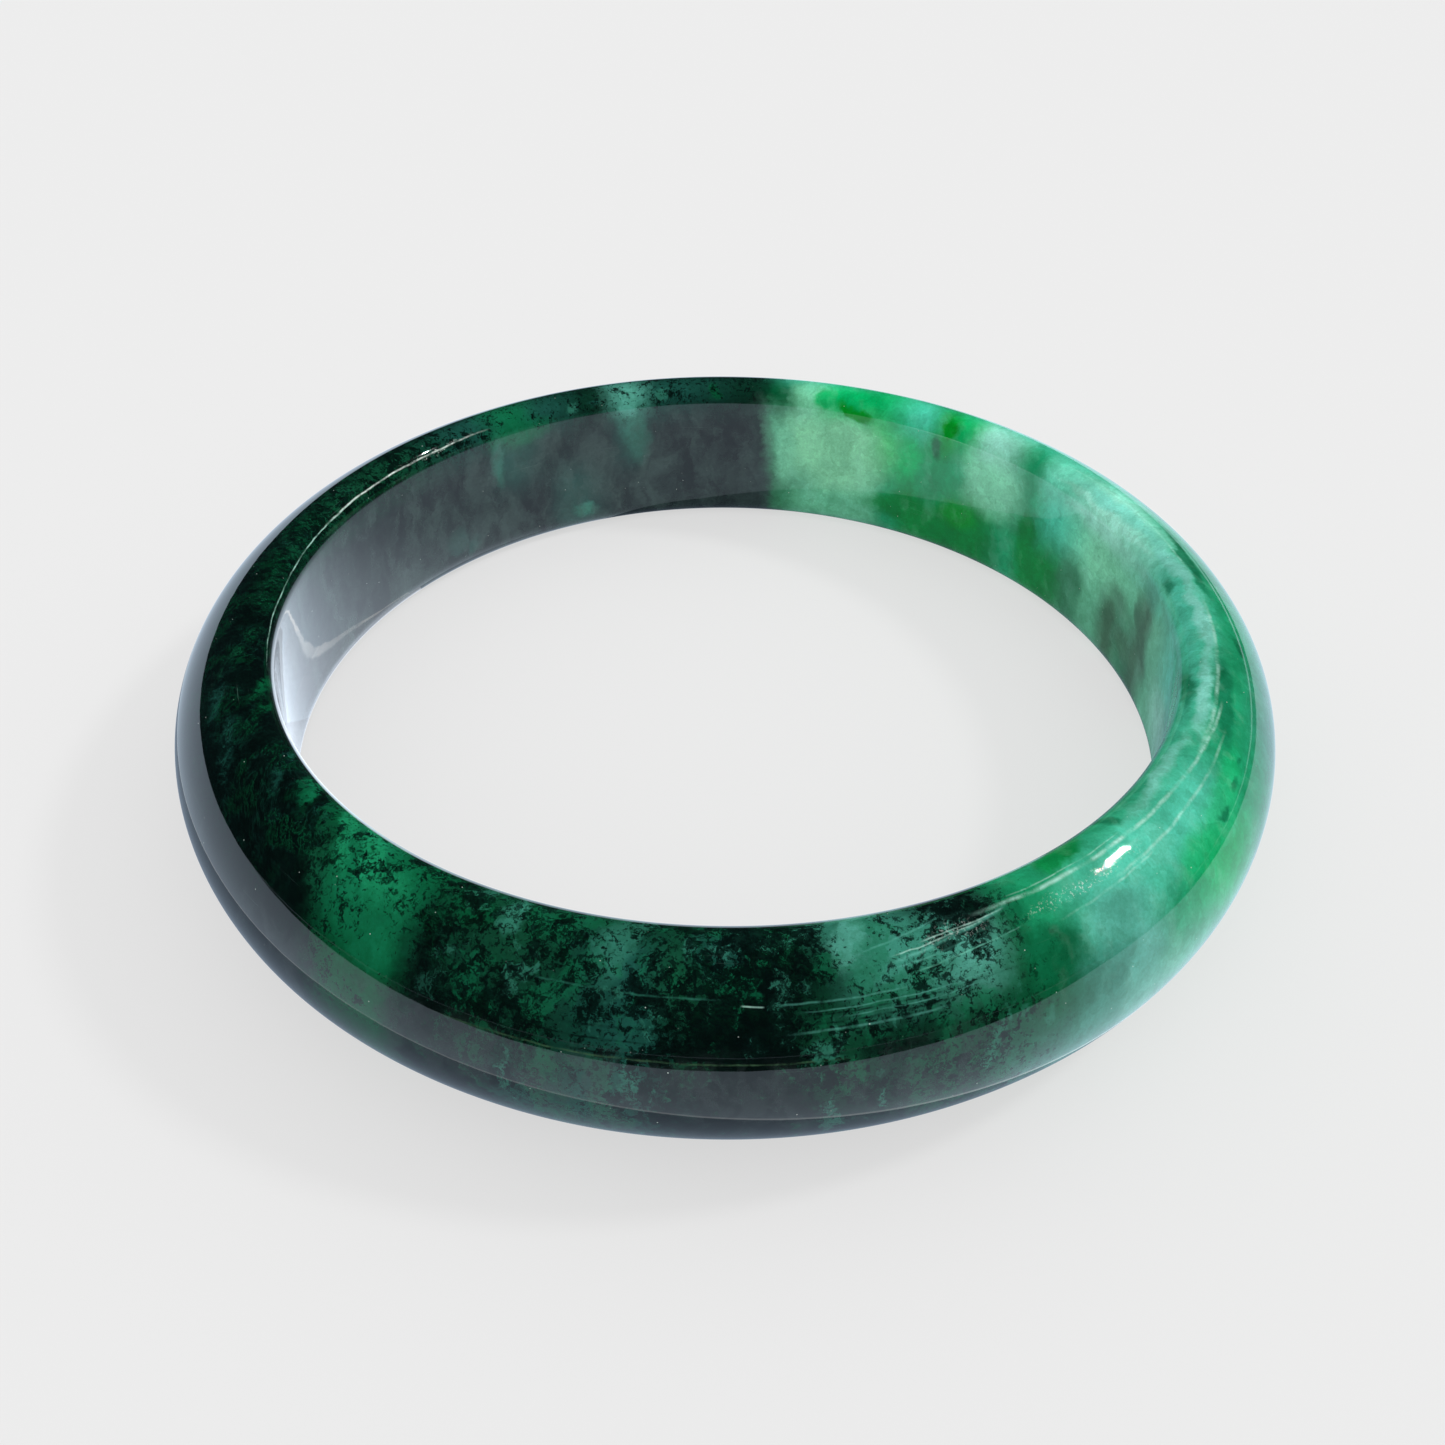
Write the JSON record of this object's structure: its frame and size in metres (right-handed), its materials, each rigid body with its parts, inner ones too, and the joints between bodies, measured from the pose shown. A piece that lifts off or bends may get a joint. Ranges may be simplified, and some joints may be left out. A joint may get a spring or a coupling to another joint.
{
  "type": "bangle bracelet",
  "caption": "Closed rigid bangle carved from solid polished stone: straight inner wall, rounded crown outside, mottled from black-green to light green.",
  "frame": {"origin": "centre of the wrist opening, halfway up the band", "axes": "+Z along the wrist, which is the ring's axis; +X towards the light green side; -Y towards the mottled side"},
  "size_m": [0.0686, 0.0686, 0.012],
  "materials": {
    "jade": "high polish, slightly translucent, mottled from black-green to light green"
  },
  "bodies": {
    "root": {"bangle": "jade"}
  },
  "joints": []
}
